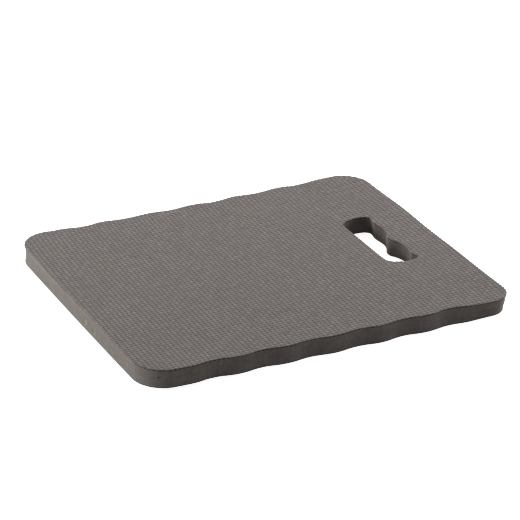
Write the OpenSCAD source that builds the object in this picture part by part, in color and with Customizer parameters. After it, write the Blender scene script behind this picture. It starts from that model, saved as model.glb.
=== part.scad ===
// Garden kneeling pad: a laminate of closed-cell foam, cut to one outline with
// a cutting die. Long sides are scalloped, the corners are round, and a slot
// with finger grips near one short side leaves a carrying bar.
// +X runs towards the handle end, +Y across the pad, +Z up.
// The origin is the centre of the underside.

/* [Pad] */
// Length of the pad, handle end included
pad_length = 400; // [380:5:460]
// Width of the pad, measured over the bumps of the scalloped sides
pad_width = 320; // [260:5:380]
// Overall thickness, both face sheets included
pad_thickness = 20; // [14:1:40]
// Radius of three of the corners
corner_r = 31; // [28:1:36]
// Radius of the tighter corner, at the handle end on the -Y side
tight_corner_r = 21; // [16:1:28]

/* [Layers] */
// Thickness of each of the two embossed face sheets
sheet_thickness = 3; // [1:0.5:5]

/* [Scalloped sides] */
// Number of valleys along each long side
valleys = 6; // [4:2:6]
// Distance from one bump to the next
pitch = 51.2; // [44:0.2:52]
// Depth of a valley below the bumps
valley_depth = 2.6; // [1:0.2:5]

/* [Handle slot] */
// Length of the slot across the pad
slot_length = 110; // [104:1:118]
// Width of the slot at its finger pockets
slot_width = 34; // [32:1:38]
// Width of the carrying bar between the pockets and the pad's end
bar_width = 43; // [30:0.5:60]
// Sideways offset of the slot from the pad's centre line
slot_y = 3; // [-5:0.5:5]
// Radius of the slot's two bowed ends
slot_end_r = 30; // [27:1:34]
// How far the middle grip stands into the slot
grip_height = 5.6; // [4:0.2:6.4]
// Radius of the two finger pockets
pocket_r = 32; // [30:1:36]
// Distance of each finger pocket's deepest point from the slot's middle
pocket_y = 22.5; // [21:0.5:24]
// How far the two outer grips stand into the slot
side_grip_height = 2.4; // [2:0.2:3.4]
// Radius of the two outer grips
side_grip_r = 30; // [26:1:34]

/* [Hidden] */
$fn = 96;
shallow_fn = 240; // facets of the larger circles, whose arcs are mostly shallow

overlap = 1;   // shapes that join run this far into each other
overshoot = 2; // squares run this far past the edge they must cover

core_thickness = pad_thickness - 2 * sheet_thickness;

// Scallops: bumps and valleys are arcs of one radius. The factor makes them
// cross at a slight angle halfway down, so that no two arcs only touch.
scallop_r = 1.02 * (pow(pitch / 2, 2) + pow(valley_depth, 2)) / (4 * valley_depth);
edge_y = pad_width / 2;
scallop_end_x = valleys / 2 * pitch;
crest_inset = 0.02;                // plain edge lies this far inside the bumps
trim_depth = 0.6 * valley_depth;   // edge is cut back to just below the crossings
bump_half_width = 0.3 * pitch;     // a little past the crossings

// Slot: fingers go on the side nearer the pad's end, the palm on the other.
finger_x = pad_length / 2 - bar_width;
palm_x = finger_x - slot_width;
side_grip_y = slot_length / 2 - 16.5;
end_pocket_y = side_grip_y - 8.5;  // start of the pocket beyond an outer grip
end_pocket_depth = 10;
slot_end_x = palm_x + 0.6 * slot_width;
slot_end_y = slot_length / 2 - slot_end_r;
limit_overshoot = 5;               // past both long sides of the slot

// An arc of radius touch_r would just touch both finger pockets, at touch_x.
// The middle grip's larger tip arc crosses them at a slight angle instead.
touch_r = (pow(pocket_r - grip_height, 2) + pow(pocket_y, 2) - pow(pocket_r, 2))
    / (2 * grip_height);
touch_x = finger_x - pocket_r
    + pocket_r * (touch_r - grip_height + pocket_r) / (pocket_r + touch_r);
tip_r = 1.03 * touch_r;

// The children as drawn, and mirrored to the other side of the X axis.
module both_sides() {
    for (side = [0, 1]) mirror([0, side]) children();
}

// A rectangle with four round corners; the one at +X -Y has the radius tight.
module round_rect(length, width, r, tight) {
    square([length, width - 2 * r], center = true);
    square([length - 2 * r, width], center = true);
    for (x = [-1, 1], y = [-1, 1])
        translate([x * (length / 2 - r), y * (width / 2 - r)]) circle(r = r);

    // Fill the corner out to the tighter radius.
    fill_x = length / 2 - r - overlap;
    translate([fill_x, -width / 2]) square([r - tight + overlap, r + overlap]);
    translate([fill_x, -width / 2 + tight]) square([r + overlap, r - tight + overlap]);
    translate([length / 2 - tight, -width / 2 + tight]) circle(r = tight);
}

// The bumps of the +Y side.
module bumps() {
    for (i = [0 : valleys]) {
        x = -scallop_end_x + i * pitch;
        intersection() {
            translate([x, edge_y - scallop_r]) circle(r = scallop_r, $fn = shallow_fn);
            translate([x - bump_half_width, edge_y - valley_depth])
                square([2 * bump_half_width, valley_depth + overshoot]);
        }
    }
}

// The circles that cut the valleys of the +Y side.
module valley_cutters() {
    for (i = [0 : valleys - 1])
        translate([-scallop_end_x + (i + 0.5) * pitch, edge_y - valley_depth + scallop_r])
            circle(r = scallop_r, $fn = shallow_fn);
}

// Outline of the pad without the slot.
module outline() {
    difference() {
        union() {
            difference() {
                round_rect(pad_length, pad_width - 2 * crest_inset, corner_r, tight_corner_r);
                both_sides()
                    translate([-scallop_end_x, edge_y - trim_depth])
                        square([2 * scallop_end_x, valley_depth + overshoot]);
            }
            both_sides() bumps();
        }
        both_sides() valley_cutters();
    }
}

// The +Y finger pocket and the small end pocket beyond the outer grip.
module pockets() {
    translate([finger_x - pocket_r, pocket_y]) circle(r = pocket_r, $fn = shallow_fn);
    translate([finger_x - end_pocket_depth, end_pocket_y])
        square([end_pocket_depth + overshoot, slot_length / 2]);
}

// The +Y outer grip: a low arc of foam that stands into the slot.
module side_grip() {
    translate([finger_x + side_grip_r - side_grip_height, side_grip_y])
        circle(r = side_grip_r, $fn = shallow_fn);
}

// The middle grip, between the two finger pockets.
module middle_grip() {
    translate([finger_x + tip_r - grip_height, 0]) circle(r = tip_r);
}

// The slot's bounding shape: straight sides and two bowed ends.
module slot_limits() {
    intersection() {
        translate([palm_x, -slot_length]) square([slot_width, 2 * slot_length]);
        union() {
            translate([palm_x - limit_overshoot, -slot_end_y])
                square([slot_width + 2 * limit_overshoot, 2 * slot_end_y]);
            for (side = [-1, 1])
                translate([slot_end_x, side * slot_end_y])
                    circle(r = slot_end_r, $fn = shallow_fn);
        }
    }
}

// Slot outline: a straight palm side, bowed ends and a wavy finger side.
module slot() {
    translate([0, slot_y])
        difference() {
            intersection() {
                union() {
                    translate([palm_x - overlap, -slot_length])
                        square([touch_x - palm_x + overlap, 2 * slot_length]);
                    both_sides() pockets();
                }
                slot_limits();
            }
            both_sides() side_grip();
            middle_grip();
        }
}

// One layer of the laminate, with its lower face at z.
module layer(z, thickness) {
    translate([0, 0, z])
        linear_extrude(height = thickness)
            difference() {
                outline();
                slot();
            }
}

// Embossed face sheet that is knelt on.
module top_face_sheet() {
    color([0.47, 0.45, 0.44]) layer(pad_thickness - sheet_thickness, sheet_thickness);
}

// Thick closed-cell core between the face sheets.
module foam_core() {
    color([0.36, 0.34, 0.33]) layer(sheet_thickness, core_thickness);
}

// Embossed face sheet that lies on the ground.
module base_face_sheet() {
    color([0.42, 0.40, 0.39]) layer(0, sheet_thickness);
}

top_face_sheet();
foam_core();
base_face_sheet();
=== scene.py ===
# Kneeling pad: three glued layers of closed-cell foam, lying on the floor. Its length runs along X,
# its width along Y and its thickness up Z. The front is -Y, and the hand slot is near the right
# (+X) end. The CAD's three flat layers are replaced by meshes with the same outline, whose faces
# carry a woven emboss and whose cut edges have a lip, a hollow wall and a foot.
# Pad lengths are millimetres until to_mesh() writes metres.
import math
import bpy
import numpy as np
from mathutils import Matrix, Vector, kdtree
from mathutils.geometry import delaunay_2d_cdt


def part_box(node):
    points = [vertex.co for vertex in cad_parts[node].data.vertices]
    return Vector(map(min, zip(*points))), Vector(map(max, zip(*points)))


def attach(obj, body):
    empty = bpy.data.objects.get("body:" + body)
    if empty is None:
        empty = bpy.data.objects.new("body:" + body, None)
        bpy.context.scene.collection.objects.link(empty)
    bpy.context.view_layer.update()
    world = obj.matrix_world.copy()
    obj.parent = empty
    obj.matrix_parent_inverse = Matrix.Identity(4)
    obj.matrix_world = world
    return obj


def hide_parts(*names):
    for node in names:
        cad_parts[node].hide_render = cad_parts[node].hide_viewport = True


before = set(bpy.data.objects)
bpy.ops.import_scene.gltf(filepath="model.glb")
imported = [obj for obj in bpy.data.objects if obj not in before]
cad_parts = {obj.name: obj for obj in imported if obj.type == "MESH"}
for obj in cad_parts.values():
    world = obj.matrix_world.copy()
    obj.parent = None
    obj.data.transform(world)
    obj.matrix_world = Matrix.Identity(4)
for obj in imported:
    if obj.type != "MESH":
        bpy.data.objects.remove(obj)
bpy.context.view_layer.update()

MM = 0.001

# ------------------------------------------------------------------ frame
top_low, top_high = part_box("top_face_sheet")
core_low, core_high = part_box("foam_core")
base_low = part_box("base_face_sheet")[0]
LENGTH = (top_high[0] - top_low[0]) / MM
WIDTH = (top_high[1] - top_low[1]) / MM
CENTRE_X = (top_high[0] + top_low[0]) / 2 / MM
CENTRE_Y = (top_high[1] + top_low[1]) / 2 / MM
BASE_Z, LOW_GLUE_Z = base_low[2] / MM, core_low[2] / MM
HIGH_GLUE_Z, TOP_Z = core_high[2] / MM, top_high[2] / MM
THICK = TOP_Z - BASE_Z

# ------------------------------------------------------------------ outline, same arcs as the CAD
CORNER_R, TIGHT_R = 31.0, 21.0          # TIGHT_R is the front right corner
EDGE_STEP = 0.02                        # the plain long edges stand back this far
VALLEYS, PITCH, VALLEY_D = 6, 51.2, 2.6
EDGE_R = 1.02 * ((PITCH / 2) ** 2 + VALLEY_D ** 2) / (4 * VALLEY_D)
RUN_X = VALLEYS / 2 * PITCH             # half the length of the scalloped run
SLOT_L, SLOT_W, BAR_W, SLOT_Y = 110.0, 34.0, 43.0, 3.0
END_R, GRIP_H, POCKET_R, POCKET_Y = 30.0, 5.6, 32.0, 22.5
SIDE_H, SIDE_R = 1.8, 30.0
SLOT_X1 = LENGTH / 2 - BAR_W
SLOT_X0 = SLOT_X1 - SLOT_W
SIDE_Y = SLOT_L / 2 - 16.5
# the middle grip's arc touches the pocket arcs at TOUCH_X
TOUCH_R = ((POCKET_R - GRIP_H) ** 2 + POCKET_Y ** 2 - POCKET_R ** 2) / (2 * GRIP_H)
TOUCH_X = SLOT_X1 - POCKET_R + POCKET_R * (TOUCH_R - GRIP_H + POCKET_R) / (POCKET_R + TOUCH_R)
TIP_R = 1.03 * TOUCH_R
END_X, END_Y = SLOT_X0 + 0.6 * SLOT_W, SLOT_L / 2 - END_R
PAD_HUB, SLOT_HUB = (0, 0), (137.0, SLOT_Y)     # each loop is star-shaped about its hub
CORNER_BLUNT, SLOT_SOFT = 0.7, 3.2              # rounding of the corners, plain and soft


def ease(t):
    t = np.clip(t, 0, 1)
    return t * t * (3 - 2 * t)


def in_pad(x, y):
    """True inside the pad's outline, the slot ignored."""
    radius = np.where((x > 0) & (y < 0), TIGHT_R, CORNER_R)
    y = np.abs(y)
    past_x, past_y = np.abs(x) - (LENGTH / 2 - radius), y - (WIDTH / 2 - EDGE_STEP - radius)
    inside = (np.hypot(np.maximum(past_x, 0), np.maximum(past_y, 0))
              + np.minimum(np.maximum(past_x, past_y), 0) - radius) <= 0
    inside &= ~((np.abs(x) < RUN_X) & (y > WIDTH / 2 - 0.6 * VALLEY_D))
    crest = np.clip(np.round((x + RUN_X) / PITCH), 0, VALLEYS)
    off = x - (-RUN_X + crest * PITCH)
    inside |= ((np.abs(off) < 0.3 * PITCH) & (y > WIDTH / 2 - VALLEY_D)
               & (np.hypot(off, y - (WIDTH / 2 - EDGE_R)) <= EDGE_R))
    valley = np.clip(np.round((x + RUN_X) / PITCH - 0.5), 0, VALLEYS - 1)
    off = x - (-RUN_X + (valley + 0.5) * PITCH)
    return inside & ~(np.hypot(off, y - (WIDTH / 2 - VALLEY_D + EDGE_R)) <= EDGE_R)


def in_slot(x, y):
    """True inside the hand slot."""
    y = np.abs(y - SLOT_Y)
    void = x < TOUCH_X
    void |= np.hypot(x - (SLOT_X1 - POCKET_R), y - POCKET_Y) <= POCKET_R
    void |= (x > SLOT_X1 - 10) & (y > SIDE_Y - 8.5)
    void &= (x > SLOT_X0) & (x < SLOT_X1)
    void &= (y < END_Y) | (np.hypot(x - END_X, y - END_Y) <= END_R)
    void &= ~(np.hypot(x - (SLOT_X1 + SIDE_R - SIDE_H), y - SIDE_Y) <= SIDE_R)
    void &= ~(np.hypot(x - (SLOT_X1 + TIP_R - GRIP_H), y) <= TIP_R)
    return void


def star_loop(inside, hub, near, far, count):
    """Boundary of a star-shaped region between two radii about hub, counter-clockwise."""
    angle = np.arange(count) * 2 * np.pi / count
    cos, sin = np.cos(angle), np.sin(angle)
    low, high = np.full(count, near), np.full(count, far)
    for _ in range(40):
        mid = (low + high) / 2
        ok = inside(hub[0] + mid * cos, hub[1] + mid * sin)
        low, high = np.where(ok, mid, low), np.where(ok, high, mid)
    return np.stack([hub[0] + low * cos, hub[1] + low * sin], 1)


def arc_length(loop):
    return np.concatenate([[0], np.cumsum(np.hypot(*(np.roll(loop, -1, 0) - loop).T))])


def resample(loop, along):
    """Points of the closed loop at the given arc lengths."""
    length = arc_length(loop)
    closed = np.vstack([loop, loop[:1]])
    return np.stack([np.interp(along, length, closed[:, axis]) for axis in (0, 1)], 1)


def smooth_loop(loop, sigma, step=0.25):
    """Rounds the loop's corners the way a bent blade does."""
    total = arc_length(loop)[-1]
    count = int(total / step)
    loop = resample(loop, np.arange(count) * total / count)
    waves = np.fft.fft(loop[:, 0] + 1j * loop[:, 1])
    freq = np.fft.fftfreq(count, total / count)
    waves *= np.exp(-2 * (np.pi * freq * sigma) ** 2)
    loop = np.fft.ifft(waves)
    return np.stack([loop.real, loop.imag], 1)


def pad_outline():
    """The cut outline: the carrying bar is pushed outwards a little by the slot, and the left
    end bows a trace."""
    loop = smooth_loop(star_loop(in_pad, PAD_HUB, near=100, far=262, count=14000), CORNER_BLUNT)
    x, y = loop.T
    push = 1.7 * np.exp(-((y - 58) / 42) ** 2) + 0.6 * np.exp(-((y + 45) / 40) ** 2)
    loop[:, 0] += push * ease((x - 150) / 45)
    loop[:, 0] -= 0.5 * ease((-x - 150) / 45) * np.clip(1 - (y / 130) ** 2, 0, 1)
    return loop


def slot_outline():
    """The cut slot: softer corners on its left side and at its back end, and shifted ends."""
    raw = star_loop(in_slot, SLOT_HUB, near=4, far=90, count=5000)
    loop, soft = smooth_loop(raw, CORNER_BLUNT), smooth_loop(raw, SLOT_SOFT)
    x, y = loop.T
    share = ease((SLOT_X0 + 15 - x) / 9)
    share = np.maximum(share, 0.8 * (ease((y - SLOT_Y - 40) / 8) * ease((x - 140) / 8)))[:, None]
    loop = loop * (1 - share) + soft * share
    loop[:, 0] += 0.4 * ease((SLOT_X0 + 15 - loop[:, 0]) / 12)
    front = ease((SLOT_Y - 30 - loop[:, 1]) / 18)
    loop += np.stack([0.9 * front, 1.8 * front], 1)
    back = ease((loop[:, 1] - SLOT_Y - 30) / 18) * ease((loop[:, 0] - 128) / 12)
    loop[:, 0] += 0.8 * back
    return loop


# Pores that the cut has opened, on the outer wall: x, y, height, radius
PORES = [(-200.0, -37.0, 6.2, 1.1), (-185.0, -155.5, 10.9, 0.75)]


class Loop:
    """A closed outline sampled for meshing, with its away-from-foam normals."""

    def __init__(self, fine, spacing, hole, pores=()):
        length = arc_length(fine)
        self.total = total = length[-1]
        self.hole = hole
        count = int(total / spacing)
        along = list(np.arange(count) * total / count)
        for x, y, _, _ in pores:        # closer samples across each pore
            mid = length[:-1][np.argmin(np.hypot(fine[:, 0] - x, fine[:, 1] - y))]
            along = [s for s in along if abs(s - mid) > 1.6]
            along += list(mid + np.arange(-1.5, 1.51, 0.25))
        self.along = np.array(sorted(s % total for s in along))
        self.points = resample(fine, self.along)
        tangent = (resample(fine, (self.along + 0.3) % total)
                   - resample(fine, (self.along - 0.3) % total))
        tangent /= np.hypot(*tangent.T)[:, None]
        self.away = np.stack([tangent[:, 1], -tangent[:, 0]], 1)
        if hole:
            self.away = -self.away

    def at(self, inset):
        """The loop moved into the foam by inset."""
        return self.points - self.away * np.reshape(inset, (-1, 1))

    def facing(self, x=0.0, y=0.0):
        """How squarely the wall faces a direction, 0 to 1."""
        return np.clip(x * self.away[:, 0] + y * self.away[:, 1], 0, 1)


LOOPS = [Loop(pad_outline(), spacing=1.0, hole=False, pores=PORES),
         Loop(slot_outline(), spacing=0.8, hole=True)]


def tight_corner(x, y):
    """1 at the tight front right corner: its lip spreads and its foam is a little thinner."""
    return ease((x - 128) / 52) * ease((-y - 96) / 50)


def back_left_corner(x, y):
    """1 at the corner diagonally across, whose lip spreads too."""
    return ease((-x - 150) / 40) * ease((y - 104) / 40)


def warp(x, y):
    """The pad lies slightly bowed: both short ends lift off the ground by about 2 mm."""
    lift = 2.035 * (x / 200) ** 2 + 0.274 * (y / 142) ** 2 + 0.674 * (x / 200) * (y / 142)
    return lift + 0.02


def settle(x, y, z):
    """Where a point at height z in the flat pad ends up."""
    return z - 1.3 * tight_corner(x, y) * (z - BASE_Z) / THICK + warp(x, y)


# ------------------------------------------------------------------ woven emboss
# WARP strands run along Y and are counted by u, WEFT strands run along X and are counted by v.
U_PER_MM = (0.2118, -0.0042)        # change of u per mm of x and y
V_PER_MM = (-0.0085, 0.2536)
# The strands drift slowly, as on stretched sheet: strips of drift for x^i y^j, i + j <= 4,
# j counting fastest.
DRIFT_U = (0.715, 0.292, -0.090, -0.228, -0.234, -0.071, 0.534, 0.490, -0.087, -1.615, -0.271,
           0.269, -0.406, -0.501, 0.664)
DRIFT_V = (-0.785, 0.434, 0.110, 0.013, 0.066, -0.070, -0.012, 0.748, -0.103, -1.296, -0.164,
           0.322, -0.898, -0.447, 1.065)
DEPTH = 1.05                        # crest to pit
# Heights as shares of the depth: a strand's body between crossings, how far it rises where it
# lies over, and how far it dips where it lies under.
WARP_BODY, WARP_RISE, WARP_DIP = 0.70, 0.29, 0.25
WEFT_BODY, WEFT_RISE, WEFT_DIP = 0.74, 0.13, 0.42
ROUNDNESS = 0.75                    # power of the cosine across a strand
BLEND = 0.06                        # softness of the crease where two strands meet


def drift(table, x, y):
    x, y = x / 200, y / 160
    powers = [(i, j) for i in range(5) for j in range(5 - i)]
    return sum(c * x ** i * y ** j for c, (i, j) in zip(table, powers))


def strips(x, y):
    """Strand coordinates u, v of a point: a strand's crest runs at each whole number."""
    return (U_PER_MM[0] * x + U_PER_MM[1] * y + drift(DRIFT_U, x, y),
            V_PER_MM[0] * x + V_PER_MM[1] * y + drift(DRIFT_V, x, y))


def unstrips(u, v):
    """The point at given strand coordinates."""
    inv = np.linalg.inv(np.array([U_PER_MM, V_PER_MM]))
    x, y = np.zeros_like(u), np.zeros_like(u)
    for _ in range(30):
        near_x, near_y = np.clip(x, -215, 215), np.clip(y, -175, 175)
        even_u, even_v = u - drift(DRIFT_U, near_x, near_y), v - drift(DRIFT_V, near_x, near_y)
        x, y = inv[0, 0] * even_u + inv[0, 1] * even_v, inv[1, 0] * even_u + inv[1, 1] * even_v
    return x, y


def crossing_random(i, j):
    """A repeatable random number, 0 to 1, for each crossing."""
    value = np.sin(i * 127.1 + j * 311.7 + 74.7) * 43758.5453
    return value - np.floor(value)


def emboss_strength(x, y):
    """Share of the full depth: the emboss is shallower in broad patches."""
    mix = (np.sin(x / 23.0 + 1.3) * np.cos(y / 31.0 - 0.4) + np.sin((x + 1.7 * y) / 41.0 + 2.1)
           + 0.7 * np.sin((x - 0.8 * y) / 17.0 + 4.0) + 0.5 * np.cos((2.1 * x + y) / 29.0))
    return 0.78 + 0.22 * (0.5 + mix / 6.4)


def emboss(x, y):
    """Depth below the face's highest level, and 0 to 1 for crest to pit."""
    u, v = strips(x, y)
    i, j = np.round(u), np.round(v)
    off_u, off_v = u - i, v - j
    warp_over = (i + j) % 2 == 1

    def body(off):
        return np.cos(np.pi * np.clip(off, -0.4999, 0.4999)) ** ROUNDNESS

    warp_h = (np.where(warp_over, WARP_RISE, -WARP_DIP) * np.cos(np.pi * off_v)
              + WARP_BODY * body(off_u))
    weft_h = (np.where(warp_over, -WEFT_DIP, WEFT_RISE) * np.cos(np.pi * off_u)
              + WEFT_BODY * body(off_v))
    height = np.logaddexp(warp_h / BLEND, weft_h / BLEND) * BLEND
    height = np.clip(height, 0, None) / 1.02
    height *= 1 - 0.16 * crossing_random(i, j)
    strength = emboss_strength(x, y)
    depth = np.clip(DEPTH * strength * (1 - height), 0, None) + DEPTH * (1 - strength) * 0.3
    return depth, np.clip(1 - height, 0, 1)


# ------------------------------------------------------------------ wall section
# The wall sections are drawn for a pad this thick and scaled to the real one.
DRAWN_THICK = 20.0
# Height above the base, how far the wall stands back from the outline
OUTER_WALL = [(0.0, 0.30), (0.35, 0.06), (1.2, 0.12), (3.0, 0.42), (6.0, 0.72), (10.0, 0.90),
              (14.0, 0.78), (17.0, 0.50), (18.4, 0.20), (19.0, 0.05), (19.5, 0.0), (20.0, 0.0)]
SLOT_WALL = [(0.0, 2.10), (0.3, 1.98), (3.0, 1.75), (8.0, 1.40), (13.0, 1.00), (17.0, 0.50),
             (18.4, 0.20), (19.0, 0.06), (19.5, 0.0), (20.0, 0.0)]
TIGHT_HOLLOW = [(0, 0.9), (3, 0.5), (7, -0.6), (10, -1.4), (14, -1.2), (18, 0.0)]


def look_up(table, at):
    return np.interp(at, *np.transpose(table))


def wave(loop, z, seed, swells):
    """Smooth periodic noise along a wall, fading out at top and bottom.
    swells are pairs of wavelength and height."""
    draw = np.random.default_rng(seed)
    out = np.zeros_like(loop.along)
    for length, height in swells:
        middle = max(1, int(round(loop.total / length)))
        for turns in (middle - 1, middle, middle + 1):
            if turns > 0:
                phase = draw.uniform(0, 2 * np.pi)
                out += height * 0.6 * np.cos(2 * np.pi * turns * loop.along / loop.total + phase)
    return out * math.sin(math.pi * min(max(z / DRAWN_THICK, 0), 1))


def outer_inset(loop, z):
    rough = wave(loop, z, seed=7, swells=((95, 0.10), (37, 0.07), (16, 0.04)))
    x, y = loop.points.T
    lip = (1.7 * tight_corner(x, y) + 0.6 * back_left_corner(x, y)) * ease((z - 12.5) / 6.5)
    hollow = tight_corner(x, y) * look_up(TIGHT_HOLLOW, z)
    return look_up(OUTER_WALL, z) + rough - lip + hollow


def slot_inset(loop, z):
    rough = wave(loop, z, seed=9, swells=((60, 0.10), (21, 0.06)))
    side = -0.30 * loop.away[:, 0] + 0.20 * loop.away[:, 1]
    grip = np.exp(-((loop.points[:, 1] - SLOT_Y) / 12) ** 2) * loop.facing(x=-2)
    return look_up(SLOT_WALL, z) * (1 + side) * (1 - 0.65 * grip) + rough


def wall_inset(loop, z):
    """How far the cut wall stands back from its outline at height z."""
    z = (z - BASE_Z) * DRAWN_THICK / THICK
    return (slot_inset if loop.hole else outer_inset)(loop, z)


# ------------------------------------------------------------------ mesh building
SKIN_SLOT, CUT_SLOT = 0, 1      # material slots of the face layers
CORE_SLOT = 0


class Body:
    """A mesh in the making, with the values that its materials read at each vertex."""

    def __init__(self):
        self.points, self.faces, self.slots = [], [], []
        self.paint = {"cavity": [], "rim": [], "dark": []}
        self.count = 0

    def add(self, xyz, **paint):
        """Adds vertices, painted 0 where no value is given, and returns their ids."""
        ids = np.arange(self.count, self.count + len(xyz))
        self.points.append(np.asarray(xyz, float))
        for key, values in self.paint.items():
            value = np.asarray(paint.get(key, 0.0), float)
            values.append(np.broadcast_to(value, (len(xyz),)).copy())
        self.count += len(xyz)
        return ids

    def add_faces(self, faces, slot):
        self.faces.extend(faces)
        self.slots.extend([slot] * len(faces))

    def add_strip(self, upper, lower, slot, flip):
        """A strip of quads between two closed rows of vertex ids."""
        corners = [upper, np.roll(upper, -1), np.roll(lower, -1), lower]
        if flip:
            corners = corners[:1] + corners[:0:-1]
        self.add_faces(np.stack(corners, 1).tolist(), slot)

    def plan(self, ids):
        """x and y of the given vertices."""
        return np.vstack(self.points)[ids, :2]


def fill(coords, edges, inside, flip, rings):
    """Triangles over the points that keep the given edges, where inside(centroid) is true.
    rings are the lengths of the closed loops that the points start with."""
    points, _, faces, origins, *_ = delaunay_2d_cdt([Vector(p) for p in coords], edges, [], 0, 1e-6)
    if len(points) != len(coords):
        raise RuntimeError("the filling moved a point")
    tri = np.array([face for face in faces if len(face) == 3])
    order = np.array([origin[0] for origin in origins])
    points = np.array([tuple(point) for point in points])
    centroid = points[tri].mean(1)
    side_a = points[tri[:, 1]] - points[tri[:, 0]]
    side_b = points[tri[:, 2]] - points[tri[:, 0]]
    area = side_a[:, 0] * side_b[:, 1] - side_a[:, 1] * side_b[:, 0]
    keep = inside(centroid[:, 0], centroid[:, 1]) & (np.abs(area) > 1e-7)
    tri, area = tri[keep], area[keep]
    tri[area < 0] = tri[area < 0][:, ::-1]
    tri = order[tri]
    # beside a nearly straight rim a sliver can pass as inside: it hangs on an edge that is
    # no border
    border, start = [(min(e), max(e)) for e in edges], 0
    for size in rings:
        ends = [(start + k, start + (k + 1) % size) for k in range(size)]
        border += [(min(e), max(e)) for e in ends]
        start += size
    border = np.array([a * len(coords) + b for a, b in border])
    for _ in range(6):
        edge = np.sort(tri[:, [0, 1, 1, 2, 2, 0]].reshape(-1, 2), axis=1)
        key, inverse, uses = np.unique(edge[:, 0] * len(coords) + edge[:, 1],
                                       return_inverse=True, return_counts=True)
        loose = (uses == 1) & ~np.isin(key, border)
        hangs = loose[inverse.ravel()].reshape(-1, 3).any(1)
        if not hangs.any():
            break
        tri = tri[~hangs]
    return tri[:, ::-1] if flip else tri


class Region:
    """Inside test for the foam between two loops, by polar radius."""

    def __init__(self, rims):
        self.outer, self.slot = self.polar(rims[0], PAD_HUB), self.polar(rims[1], SLOT_HUB)

    @staticmethod
    def polar(points, hub):
        """Sorted angles and radii about hub, with one point more at each end."""
        angle = np.arctan2(points[:, 1] - hub[1], points[:, 0] - hub[0])
        radius = np.hypot(points[:, 1] - hub[1], points[:, 0] - hub[0])
        order = np.argsort(angle)
        angle, radius = angle[order], radius[order]
        angle = np.concatenate([[angle[-1] - 2 * np.pi], angle, [angle[0] + 2 * np.pi]])
        radius = np.concatenate([[radius[-1]], radius, [radius[0]]])
        return angle, radius, hub

    @staticmethod
    def ratio(table, x, y):
        """A point's radius over the polygon's, taken along the chord between neighbours."""
        angles, radii, hub = table
        angle = np.arctan2(y - hub[1], x - hub[0])
        i = np.clip(np.searchsorted(angles, angle, side="right") - 1, 0, len(angles) - 2)
        x0, y0 = radii[i] * np.cos(angles[i]), radii[i] * np.sin(angles[i])
        run = radii[i + 1] * np.cos(angles[i + 1]) - x0
        rise = radii[i + 1] * np.sin(angles[i + 1]) - y0
        across = np.cos(angle) * rise - np.sin(angle) * run
        edge = (x0 * rise - y0 * run) / np.where(np.abs(across) < 1e-9, 1e-9, across)
        return np.hypot(x - hub[0], y - hub[1]) / np.maximum(edge, 1e-6)

    def __call__(self, x, y):
        return (self.ratio(self.outer, x, y) < 1) & (self.ratio(self.slot, x, y) > 1)


def loop_distance(points, loops):
    """Distance from each point to the nearest loop."""
    fine = np.vstack([resample(p, np.arange(0, arc_length(p)[-1], 0.3)) for p in loops])
    tree = kdtree.KDTree(len(fine))
    for i, (x, y) in enumerate(fine):
        tree.insert((x, y, 0), i)
    tree.balance()
    return np.array([tree.find((x, y, 0))[2] for x, y in points])


PER_U, PER_V = 3, 4             # mesh samples per strip, across the two strand directions
HALF_U = int(math.ceil((U_PER_MM[0] * LENGTH / 2 + 4) * PER_U))
HALF_V = int(math.ceil((V_PER_MM[1] * WIDTH / 2 + 4) * PER_V))
RIM_GAP = 0.55                  # grid points closer to a rim are left out
LOW, HIGH = slice(0, -1), slice(1, None)
CELL_CORNERS = ((LOW, LOW), (HIGH, LOW), (HIGH, HIGH), (LOW, HIGH))
# Small dark dents in the top face: x, y, radius
TOP_SPECKS = [(93, -22, 0.8), (-93, 62, 0.8)]
SPECK_DEPTH = 0.35


def weave_grid(rims, region):
    """Grid points that follow the weave, and which of them lie inside, clear of the rims."""
    u, v = np.meshgrid(np.arange(-HALF_U, HALF_U + 1), np.arange(-HALF_V, HALF_V + 1),
                       indexing="ij")
    xy = np.stack(unstrips(u / PER_U, v / PER_V), -1)
    x, y = xy[..., 0], xy[..., 1]
    keep = region(x, y)
    # only points near the loops need the exact distance
    near = keep & (~(np.abs(x) < LENGTH / 2 - CORNER_R - 6) | (np.abs(y) > WIDTH / 2 - 12)
                   | ((np.abs(x - 140) < 26) & (np.abs(y - SLOT_Y) < 66)))
    gap = np.full(keep.shape, 99.0)
    gap[near] = loop_distance(xy[near], rims)
    return xy, keep & (gap > RIM_GAP)


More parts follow.
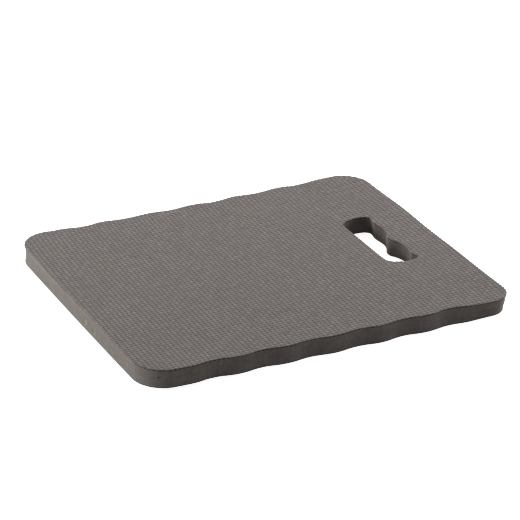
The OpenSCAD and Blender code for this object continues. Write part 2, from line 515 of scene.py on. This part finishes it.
def textured_face(body, rim_ids, level, up, specks):
    """The embossed face inside the rim loops."""
    side = 1 if up else -1
    rims = [body.plan(ids) for ids in rim_ids]
    region = Region(rims)
    xy, keep = weave_grid(rims, region)
    x, y = xy[keep].T
    depth, cavity = emboss(x, y)
    dark = np.zeros(len(x))
    for at_x, at_y, radius in specks:
        spot = np.exp(-((x - at_x) ** 2 + (y - at_y) ** 2) / (2 * radius * radius))
        dark = np.maximum(dark, spot)
    z = level - side * depth - side * SPECK_DEPTH * dark
    ids = np.full(keep.shape, -1)
    ids[keep] = body.add(np.column_stack([x, y, settle(x, y, z)]), cavity=cavity, dark=dark)
    cells = np.stack([ids[corner] for corner in CELL_CORNERS], -1)
    full = (cells >= 0).all(-1)
    quads = cells[full]
    body.add_faces((quads if up else quads[:, ::-1]).tolist(), SKIN_SLOT)
    # the band between the grid and the rims
    used = np.zeros(ids.shape, int)
    for corner in CELL_CORNERS:
        used[corner] += full
    band = keep & (used < 4)
    coords = np.vstack([*rims, xy[band]])
    ident = np.concatenate([*rim_ids, ids[band]])
    # the grid's own edge is kept as it is
    where = {vertex: k for k, vertex in enumerate(ident.tolist())}
    uses = {}
    for quad in quads.tolist():
        for ends in zip(quad, quad[1:] + quad[:1]):
            edge = (min(ends), max(ends))
            uses[edge] = uses.get(edge, 0) + 1
    edges = [(where[a], where[b]) for (a, b), count in uses.items() if count == 1]

    def in_band(x, y):
        u, v = strips(x, y)
        i = np.floor(u * PER_U).astype(int) + HALF_U
        j = np.floor(v * PER_V).astype(int) + HALF_V
        ok = (i >= 0) & (j >= 0) & (i < full.shape[0]) & (j < full.shape[1])
        in_cell = np.zeros(len(x), bool)
        in_cell[ok] = full[i[ok], j[ok]]
        return region(x, y) & ~in_cell

    tri = fill(coords, edges, in_band, not up, [len(rim) for rim in rims])
    body.add_faces(ident[tri].tolist(), SKIN_SLOT)


def plain_face(body, rim_ids, level, up, slot):
    """A glued face, hidden between two layers."""
    grid, rim_gap = 22.0, 4
    rims = [body.plan(ids) for ids in rim_ids]
    region = Region(rims)
    half_x, half_y = int(LENGTH / 2 / grid), int(WIDTH / 2 / grid)
    x, y = np.meshgrid(np.arange(-half_x, half_x + 1) * grid,
                       np.arange(-half_y, half_y + 1) * grid)
    points = np.stack([x.ravel(), y.ravel()], 1)
    points = points[region(points[:, 0], points[:, 1])]
    points = points[loop_distance(points, rims) > rim_gap]
    x, y = points.T
    ids = body.add(np.column_stack([points, settle(x, y, level)]), cavity=0.5)
    coords = np.vstack([*rims, points])
    ident = np.concatenate([*rim_ids, ids])
    tri = fill(coords, [], region, not up, [len(rim) for rim in rims])
    body.add_faces(ident[tri].tolist(), slot)


def pore_depth(points, z):
    depth = np.zeros(len(points))
    for at_x, at_y, at_z, radius in PORES:
        off = np.sqrt((points[:, 0] - at_x) ** 2 + (points[:, 1] - at_y) ** 2
                      + (z - at_z) ** 2) / radius
        depth = np.maximum(depth, np.sqrt(np.clip(1 - off * off, 0, 1)))
    return depth


def highlight_and_mark(loop, xy, z):
    """Paler places on the cut walls: painted highlights on the grips' tips in the slot and on the
    tight corner, where they face the lights, and a short upright mark on the left end wall."""
    x, y = xy.T
    if loop.hole:
        tips = sum(np.exp(-((y - SLOT_Y - tip) / width) ** 2)
                   for tip, width in ((4.0, 2.4), (SIDE_Y + 2, 3.0), (2 - SIDE_Y, 3.0)))
        return 0.75 * tips * loop.facing(x=-1.4)
    corner_highlight = 0.45 * loop.facing(x=1) * (x > 100) * ease((-115 - y) / 24)
    mark = 0.50 * np.exp(-((y + 20) / 1.7) ** 2) * (x < -190)
    return corner_highlight + mark * ease((z - BASE_Z - 2.5) / 2) * ease((BASE_Z + 10 - z) / 2)


def wall_row(body, loop, z, inset, sink=0.0, cavity=0.0, rim=0.0, dark=0.0):
    """One closed row of vertices on a cut wall; sink shifts it in z with the emboss."""
    xy = loop.at(inset)
    pore = np.zeros(len(xy)) if loop.hole else pore_depth(loop.points, z)
    xy = xy - loop.away * (0.9 * pore)[:, None]
    # painted shade: the slot's walls are darker towards the top
    slot_top_shade = 0.36 * ease((z - BASE_Z - 5.0) / 11.0) if loop.hole else 0.0
    # dark: pores, the painted slot shade and the rim's painted shadow darken; the painted
    # highlights and the left wall's mark lighten
    dark = np.clip(pore * 1.6 + slot_top_shade + dark, 0, 1) - highlight_and_mark(loop, xy, z)
    height = settle(xy[:, 0], xy[:, 1], np.full(len(xy), z) + sink)
    return body.add(np.column_stack([xy, height]), cavity=cavity, rim=rim, dark=dark)


# Rows from the face's rim over the rounded lip to the glue line, whose depth each layer adds
LIP_DEPTH = (0.0, 0.05, 0.17, 0.45, 0.9, 1.5, 2.4)
LIP_BACK = (0.62, 0.26, 0.06, 0.0, 0.0, 0.0, 0.0, 0.16)     # set back from the wall
LIP_FOLLOW = (1.0, 1.0, 1.0, 0.95, 0.7, 0.3, 0.0, 0.0)      # share of the emboss followed
LIP_RIM = (0.0, 0.45, 1.0, 0.35, 0.0, 0.0, 0.0, 0.0)        # paleness all round
LIP_LIT_SIDE = (0.5, 0.9, 1.1, 0.4, 0.0, 0.0, 0.0, 0.0)         # painted highlight on the sides facing the lights
LIP_RIM_SHADOW = (0, 0, 0.35, 0.85, 0.75, 0.25, 0, 0)            # painted shadow in dashes under the rim, top sheet only
LIP_SKIN_STRIPS = 2                                         # strips that are still skin
GLUE_BACK = LIP_BACK[-1]


def lip_rows(body, loop, level, glue, up):
    side = 1 if up else -1
    rim_x, rim_y = loop.at(LIP_BACK[0]).T
    depth0, cavity0 = emboss(rim_x, rim_y)
    x, y = loop.points.T
    depth1, cavity1 = emboss(x, y)
    # the die tears the gaps between the strands open on the face it enters, and presses the
    # other one flat
    if up:
        u, v = strips(x, y)
        gap = (np.abs(loop.away[:, 1]) * np.sin(np.pi * u) ** 2
               + np.abs(loop.away[:, 0]) * np.sin(np.pi * v) ** 2)
        cavity1 = np.clip(0.40 * cavity1 + 0.85 * gap, 0, 1)
        depth1 = 0.35 * depth1 + DEPTH * 1.05 * gap
    else:
        depth1 = depth1 * 0.45
    # cavity darkens the lip rows' colour: painted shade in the pits and torn gaps where the rim
    # cuts them
    cavities = [cavity0, (cavity0 + cavity1) / 2, cavity1, cavity1, cavity1 ** 1.5 * 0.9,
                cavity1 ** 2 * 0.5, 0.0, 0.0]
    # painted highlight: the rim is paler where it faces the lights, most of all on the back, then
    # the left and right ends
    lit_side = (not loop.hole) * (loop.facing(x=-1) + 1.2 * loop.facing(y=1)
                              + 0.8 * loop.facing(x=1))
    # painted shadow: a dark line of dashes under the rim, strongest on the front and in the slot
    rim_shadow = 0.75 if loop.hole else 0.20 + 0.55 * loop.facing(y=-1)
    rim_shadow = up * rim_shadow * (0.25 + 0.95 * cavity1)
    rows = []
    for k, depth in enumerate((*LIP_DEPTH, abs(level - glue))):
        z = level - side * depth
        blend = min(1, k / 2)
        rows.append(wall_row(
            body, loop, z, inset=wall_inset(loop, z) + LIP_BACK[k],
            sink=-side * LIP_FOLLOW[k] * (depth0 * (1 - blend) + depth1 * blend),
            cavity=cavities[k], rim=LIP_RIM[k] + LIP_LIT_SIDE[k] * lit_side, dark=LIP_RIM_SHADOW[k] * rim_shadow))
    return rows


def face_layer(level, glue, up, specks=()):
    """The top sheet (up) or the base sheet: one embossed face, one glued face, cut walls."""
    body = Body()
    rim_ids, glue_ids = [], []
    for loop in LOOPS:
        rows = lip_rows(body, loop, level, glue, up)
        for k, (upper, lower) in enumerate(zip(rows[:-1], rows[1:])):
            slot = SKIN_SLOT if k < LIP_SKIN_STRIPS else CUT_SLOT
            body.add_strip(upper, lower, slot, flip=up != loop.hole)
        rim_ids.append(rows[0])
        glue_ids.append(rows[-1])
    textured_face(body, rim_ids, level, up, specks)
    plain_face(body, glue_ids, glue, not up, CUT_SLOT)
    return body


# Distance below the core's top, paleness of the line where it meets the top sheet
SEAM_LINE = [(0.0, 0.3), (0.35, 1.0), (1.4, 1.0), (2.6, 0.0)]


def core_layer():
    body = Body()
    low, high = LOW_GLUE_Z, HIGH_GLUE_Z
    heights = list(np.linspace(low + 0.35, high - 0.35, 14))
    for _, _, at_z, _ in PORES:         # closer rows across each pore
        heights = [z for z in heights if abs(z - at_z) > 0.95]
        heights += list(at_z + np.arange(-0.8, 0.81, 0.2))
    heights = [high] + sorted(heights, reverse=True) + [low]
    top_ids, bottom_ids = [], []
    for loop in LOOPS:
        pale = 0.9 * loop.facing(x=-1) * (not loop.hole)        # on the left end wall only
        rows = []
        for z in heights:
            inset = wall_inset(loop, z) + (GLUE_BACK if z in (low, high) else 0.0)
            rows.append(wall_row(body, loop, z, inset, rim=pale * look_up(SEAM_LINE, high - z)))
        for upper, lower in zip(rows[:-1], rows[1:]):
            body.add_strip(upper, lower, CORE_SLOT, flip=not loop.hole)
        top_ids.append(rows[0])
        bottom_ids.append(rows[-1])
    plain_face(body, top_ids, high, True, CORE_SLOT)
    plain_face(body, bottom_ids, low, False, CORE_SLOT)
    return body


def link_mesh(name, mesh):
    piece = bpy.data.objects.new(name, mesh)
    bpy.context.scene.collection.objects.link(piece)
    return piece


def to_mesh(body, name, materials):
    points = np.vstack(body.points)
    placed = (points + np.array([CENTRE_X, CENTRE_Y, 0.0])) * MM
    mesh = bpy.data.meshes.new(name)
    mesh.from_pydata(placed.tolist(), [], body.faces)
    for material in materials:
        mesh.materials.append(material)
    mesh.polygons.foreach_set("material_index", body.slots)
    mesh.polygons.foreach_set("use_smooth", [True] * len(body.faces))
    x, y = points[:, 0], points[:, 1]
    u, v = strips(x, y)
    values = {key: np.concatenate(parts) for key, parts in body.paint.items()}
    values.update(strand_u=u, strand_v=v, weave=emboss_strength(x, y))
    for key, value in values.items():
        attribute = mesh.attributes.new(key, "FLOAT", "POINT")
        attribute.data.foreach_set("value", np.asarray(value, np.float32))
    mesh.validate()
    mesh.update()
    mesh.set_sharp_from_angle(angle=math.radians(62))
    return link_mesh(name, mesh)


# ------------------------------------------------------------------ materials
class Graph:
    """The node tree of a material or world, with short ways to add nodes."""

    def __init__(self, owner):
        owner.use_nodes = True
        self.owner, self.tree = owner, owner.node_tree
        self.tree.nodes.clear()

    def node(self, kind, inputs, **settings):
        """A node with its settings; inputs maps a name or index to a value or a socket."""
        node = self.tree.nodes.new(kind)
        for key, value in settings.items():
            setattr(node, key, value)
        for key, value in inputs.items():
            if isinstance(value, bpy.types.NodeSocket):
                self.tree.links.new(value, node.inputs[key])
            else:
                node.inputs[key].default_value = value
        return node

    def math(self, operation, *values, clamp=False):
        return self.node("ShaderNodeMath", dict(enumerate(values)), operation=operation,
                         use_clamp=clamp).outputs[0]

    def line(self, value, gain, plus):
        return self.math("MULTIPLY_ADD", value, gain, plus)

    def tint(self, value, mask, by):
        """value, changed by the share `by` where mask is 1."""
        return self.math("MULTIPLY", value, self.line(mask, gain=by, plus=1.0))

    def centred(self, fac, gain):
        """Noise about 1, so it can multiply a colour."""
        return self.line(self.math("SUBTRACT", fac, 0.5), gain, plus=1.0)

    def vary(self, value, noise, gain):
        return self.math("MULTIPLY", value, self.centred(noise, gain))

    def noise(self, coord, size=1.0, detail=2.0, rough=0.5, distort=0.0):
        return self.node("ShaderNodeTexNoise", {
            "Vector": coord, "Scale": 1 / size, "Detail": detail, "Roughness": rough,
            "Distortion": distort}).outputs["Fac"]

    def scaled(self, coord, scale):
        return self.node("ShaderNodeVectorMath", {0: coord, 1: scale},
                         operation="MULTIPLY").outputs[0]

    def attribute(self, name):
        return self.node("ShaderNodeAttribute", {}, attribute_name=name,
                         attribute_type="GEOMETRY").outputs["Fac"]

    def ramp(self, value, zero_at, one_at):
        return self.node("ShaderNodeMapRange", {
            "Value": value, "From Min": zero_at, "From Max": one_at}).outputs["Result"]

    def by_camera(self, others, camera):
        """Shows one shader to the camera and another to all other rays."""
        seen = self.node("ShaderNodeLightPath", {}).outputs["Is Camera Ray"]
        return self.node("ShaderNodeMixShader", {0: seen, 1: others, 2: camera}).outputs[0]


def weave(graph):
    """The emboss's cavity, as emboss() has it, at each shading point: 0 crest, 1 pit."""
    def cosine(strand, whole):
        off = graph.math("SUBTRACT", strand, whole)
        return graph.math("COSINE", graph.math("MULTIPLY", off, math.pi))

    def height(across, along, body, crossing):
        ridge = graph.math("POWER", graph.math("MAXIMUM", across, 0.0), ROUNDNESS)
        return graph.line(crossing, along, graph.math("MULTIPLY", ridge, body))

    u, v = graph.attribute("strand_u"), graph.attribute("strand_v")
    i, j = graph.math("ROUND", u), graph.math("ROUND", v)
    cos_u, cos_v = cosine(u, i), cosine(v, j)
    warp_over = graph.math("FLOORED_MODULO", graph.math("ADD", i, j), 2.0)
    warp_cross = graph.line(warp_over, gain=WARP_RISE + WARP_DIP, plus=-WARP_DIP)
    weft_cross = graph.line(warp_over, gain=-WEFT_DIP - WEFT_RISE, plus=WEFT_RISE)
    warp_h = height(cos_u, cos_v, WARP_BODY, warp_cross)
    weft_h = height(cos_v, cos_u, WEFT_BODY, weft_cross)
    crease = 0.12
    top = graph.math("SMOOTH_MAX", warp_h, weft_h, crease)
    cell = graph.node("ShaderNodeCombineXYZ", {0: i, 1: j}).outputs[0]
    chance = graph.node("ShaderNodeTexWhiteNoise", {"Vector": cell}, noise_dimensions="3D")
    uneven = graph.line(chance.outputs["Value"], gain=-0.24, plus=1.06)
    return graph.math("SUBTRACT", 1.0, graph.math("MULTIPLY", top, uneven), clamp=True)


def pores(graph, coord, cell, radius, share):
    """Sparse dark cells opened at the surface: 1 in a pore."""
    cells = graph.node("ShaderNodeTexVoronoi", {"Vector": coord, "Scale": 1.0 / cell},
                       feature="F1")
    near = graph.ramp(cells.outputs["Distance"], zero_at=radius / cell,
                      one_at=radius / cell * 0.55)
    split = graph.node("ShaderNodeSeparateColor", {0: cells.outputs["Color"]})
    return graph.math("MULTIPLY", near,
                      graph.math("GREATER_THAN", split.outputs[0], 1 - share))


# Contrast of each noise in the colour, share of the cells opened as pores, lowest roughness,
# height of the fine relief in metres
SKIN_LOOK = dict(clouds=0.12, mottle=0.16, grain=0.80, specks=0.56,
                 pores=0.05, fine_pores=0.10, rough=0.70, relief=0.00009)
CUT_LOOK = dict(clouds=0.30, mottle=0.42, grain=0.40, specks=0.24,
                pores=0.30, fine_pores=0.35, rough=0.76, relief=0.00012)


def foam(name, base, warm, wall):
    """Closed-cell foam: an embossed moulded skin, or (wall) the cut edge."""
    look = CUT_LOOK if wall else SKIN_LOOK
    graph = Graph(bpy.data.materials.new(name))
    metres = graph.node("ShaderNodeTexCoord", {}).outputs["Object"]
    coord = graph.scaled(metres, (1000.0, 1000.0, 1000.0))      # millimetres
    # brightness: broad clouds, hand-sized mottling, grain
    clouds = graph.noise(coord, size=55.0, detail=3.0, rough=0.55, distort=0.6)
    mottle = graph.noise(coord, size=9.0, detail=3.0, rough=0.6, distort=0.3)
    grain = graph.noise(coord, size=0.9, detail=3.0, rough=0.65)
    specks = graph.noise(coord, size=2.3, detail=2.0, rough=0.6)
    shade = graph.centred(clouds, look["clouds"])
    shade = graph.vary(shade, mottle, look["mottle"])
    shade = graph.vary(shade, grain, look["grain"])
    shade = graph.vary(shade, specks, look["specks"])
    if wall:
        # the blade leaves streaks along the wall, parallel to the faces
        streak = graph.noise(graph.scaled(metres, (45.0, 45.0, 1500.0)),
                             detail=3.0, rough=0.6, distort=0.25)
        blotch = graph.noise(graph.scaled(metres, (260.0, 260.0, 420.0)), rough=0.55)
        drag = graph.noise(graph.scaled(metres, (520.0, 520.0, 30.0)))
        shade = graph.vary(shade, streak, gain=0.75)
        shade = graph.vary(shade, blotch, gain=0.30)
        shade = graph.vary(shade, drag, gain=0.30)
    hole = pores(graph, coord, cell=5.2, radius=0.36, share=look["pores"])
    fine_hole = pores(graph, coord, cell=1.9, radius=0.17, share=look["fine_pores"])
    cavity = graph.attribute("cavity")
    if wall:
        # painted shade in the emboss's pits and torn gaps where the rim cuts them
        shade = graph.tint(shade, cavity, by=-0.62)
    else:
        # painted shade in the weave's pits and painted highlight on its crests
        pit_shade = graph.math("SUBTRACT", weave(graph), 0.5)
        pit_shade = graph.math("MULTIPLY", pit_shade, graph.attribute("weave"))
        shade = graph.tint(shade, pit_shade, by=-1.66)
    patchy = graph.ramp(graph.noise(coord, size=7.0, detail=3.0, rough=0.6),
                        zero_at=0.34, one_at=0.60)
    # rim: worn paler all round, with painted highlight on the lip's sides facing the lights; on the
    # core, its pale seam line
    wear_and_highlight = graph.math("MULTIPLY", graph.attribute("rim"), patchy)
    shade = graph.tint(shade, wear_and_highlight, by=0.26)
    shade = graph.tint(shade, hole, by=-0.62)
    shade = graph.tint(shade, fine_hole, by=-0.30)
    # dark: the top's dents and the wall's pores, painted shade near the slot's top and painted
    # shadow under the rim; below zero, painted highlights on the grips' tips and the tight corner,
    # and the left wall's mark
    shade = graph.tint(shade, graph.attribute("dark"), by=-0.72)
    warmth = graph.ramp(graph.noise(coord, size=34.0, detail=2.0, rough=0.5, distort=0.4),
                        zero_at=0.35, one_at=0.65)
    # inputs 6 and 7 are the two colours, output 2 the mixed one
    hue = graph.node("ShaderNodeMix", {"Factor": warmth, 6: (*base, 1), 7: (*warm, 1)},
                     data_type="RGBA", blend_type="MIX").outputs[2]
    colour = graph.node("ShaderNodeVectorMath", {0: hue, "Scale": shade}, operation="SCALE")
    # relief finer than the mesh: foam cells, streaks and pores
    cells = graph.noise(coord, size=0.42, detail=3.0, rough=0.7)
    relief = graph.line(cells, gain=0.55, plus=graph.math("MULTIPLY", grain, 0.45))
    if wall:
        relief = graph.line(streak, gain=0.7, plus=relief)
        relief = graph.line(drag, gain=0.5, plus=relief)
    relief = graph.line(hole, gain=-1.2, plus=relief)
    relief = graph.line(fine_hole, gain=-0.6, plus=relief)
    bump = graph.node("ShaderNodeBump", {
        "Strength": 0.55, "Distance": look["relief"], "Height": relief})
    rough = graph.line(mottle, gain=0.16, plus=look["rough"])
    rough = graph.line(cavity, gain=0.08, plus=rough)
    surface = graph.node("ShaderNodeBsdfPrincipled", {
        "Base Color": colour.outputs[0], "Roughness": rough, "Normal": bump.outputs["Normal"],
        "Specular IOR Level": 0.30, "Sheen Weight": 0.04, "Sheen Roughness": 0.6})
    graph.node("ShaderNodeOutputMaterial", {"Surface": surface.outputs[0]})
    return graph.owner


skin = foam("foam_skin", base=(0.1428, 0.1265, 0.1196), warm=(0.1462, 0.1272, 0.1190), wall=False)
cut = foam("foam_cut_edge", base=(0.215, 0.193, 0.177), warm=(0.220, 0.194, 0.174), wall=True)
base_skin = foam("foam_base_skin", base=(0.1400, 0.1240, 0.1175), warm=(0.1460, 0.1260, 0.1165),
                 wall=False)

top = to_mesh(face_layer(TOP_Z, HIGH_GLUE_Z, up=True, specks=TOP_SPECKS),
              "embossed_top_layer", [skin, cut])
core = to_mesh(core_layer(), "cut_core_layer", [cut])
bottom = to_mesh(face_layer(BASE_Z, LOW_GLUE_Z, up=False), "embossed_base_layer",
                 [base_skin, cut])
for piece, node, finish in ((top, "top_face_sheet", "face_foam"),
                            (core, "foam_core", "core_foam"),
                            (bottom, "base_face_sheet", "face_foam")):
    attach(piece, "root")
    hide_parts(node)


# ------------------------------------------------------------------ floor
def floor_material():
    """Grey to the light, but brightened by a glow where the camera sees it."""
    graph = Graph(bpy.data.materials.new("pale_floor"))
    seen = graph.node("ShaderNodeBsdfDiffuse", {"Color": (0.55, 0.55, 0.55, 1)})
    glow = graph.node("ShaderNodeEmission", {"Color": (1, 1, 1, 1), "Strength": 0.90})
    both = graph.node("ShaderNodeAddShader", {0: seen.outputs[0], 1: glow.outputs[0]})
    bounce = graph.node("ShaderNodeBsdfDiffuse", {"Color": (0.45, 0.45, 0.45, 1)})
    surface = graph.by_camera(others=bounce.outputs[0], camera=both.outputs[0])
    graph.node("ShaderNodeOutputMaterial", {"Surface": surface})
    return graph.owner


def build_floor():
    half = 30.0         # metres
    material = floor_material()
    mesh = bpy.data.meshes.new("floor")
    corners = [(-half, -half, 0), (half, -half, 0), (half, half, 0), (-half, half, 0)]
    mesh.from_pydata(corners, [], [(0, 1, 2, 3)])
    mesh.materials.append(material)
    link_mesh("floor", mesh)


# ------------------------------------------------------------------ world and render settings
def build_world():
    """White to the camera, a weak fill light to everything else."""
    scene = bpy.context.scene
    scene.world = bpy.data.worlds.new("studio")
    graph = Graph(scene.world)
    white = (1, 1, 1, 1)
    seen = graph.node("ShaderNodeBackground", {"Color": white, "Strength": 1.0})
    fill_light = graph.node("ShaderNodeBackground", {"Color": white, "Strength": 0.194})
    surface = graph.by_camera(others=fill_light.outputs[0], camera=seen.outputs[0])
    graph.node("ShaderNodeOutputWorld", {"Surface": surface})
    scene.view_settings.view_transform = "Standard"
    scene.view_settings.look = "None"
    scene.view_settings.exposure = 0.0
    scene.view_settings.gamma = 1.0
    scene.cycles.filter_width = 1.0     # a crisp film, so the fine weave stays readable


# ------------------------------------------------------------------ soft studio light
# name, azimuth and elevation of the light (degrees), distance, width, height (m), power (W)
# azimuth 0 is in front of the pad (-Y), 90 to its right (+X), 180 behind, 270 to its left
LIGHTS = [
    ("left_back_low", 228, 12, 1.2, 0.9, 0.5, 3.8),
    ("left_low", 257, 12, 1.2, 0.9, 0.5, 6.1),
    ("right_low", 88, 12, 1.2, 0.9, 0.5, 5.4),
    ("right_high", 98, 42, 1.8, 1.25, 0.97, 9.4),
    ("back_high", 180, 45, 2.2, 2.37, 1.52, 30.6),
]


def direction(azimuth, elevation):
    """Unit vector from the pad's middle, angles in degrees as for LIGHTS."""
    azimuth, elevation = math.radians(azimuth), math.radians(elevation)
    return Vector((math.sin(azimuth) * math.cos(elevation),
                   -math.cos(azimuth) * math.cos(elevation), math.sin(elevation)))


def build_lights():
    for name, azimuth, elevation, distance, width, height, power in LIGHTS:
        light = bpy.data.lights.new(name, "AREA")
        light.shape = "RECTANGLE"
        light.size, light.size_y, light.energy = width, height, power
        lamp = bpy.data.objects.new(name, light)
        away = direction(azimuth, elevation)
        lamp.location = away * distance
        lamp.rotation_mode = "QUATERNION"
        lamp.rotation_quaternion = away.to_track_quat("Z", "Y")
        lamp.visible_camera = False
        bpy.context.scene.collection.objects.link(lamp)


# ------------------------------------------------------------------ camera
CAMERA_AZIMUTH, CAMERA_ELEVATION, CAMERA_ROLL = -28.05, 26.45, 1.817    # degrees
CAMERA_DISTANCE = 2340.87
AIM = (25.519, 48.142, 0)               # the point looked at
SENSOR_WIDTH, FOCAL_LENGTH = 36.0, 156.606923


def build_camera():
    back = direction(CAMERA_AZIMUTH, CAMERA_ELEVATION)
    right = Vector((0, 0, 1)).cross(back).normalized()
    above = back.cross(right)
    roll = math.radians(CAMERA_ROLL)
    axis_x = right * math.cos(roll) + above * math.sin(roll)
    axis_y = -right * math.sin(roll) + above * math.cos(roll)
    lens = bpy.data.cameras.new("camera")
    lens.sensor_width, lens.lens = SENSOR_WIDTH, FOCAL_LENGTH
    lens.clip_start, lens.clip_end = 0.05, 200.0
    camera = bpy.data.objects.new("camera", lens)
    camera.matrix_world = Matrix((axis_x, axis_y, back)).transposed().to_4x4()
    camera.location = (Vector(AIM) + back * CAMERA_DISTANCE) * MM
    bpy.context.scene.collection.objects.link(camera)
    bpy.context.scene.camera = camera


build_floor()
build_world()
build_lights()
build_camera()
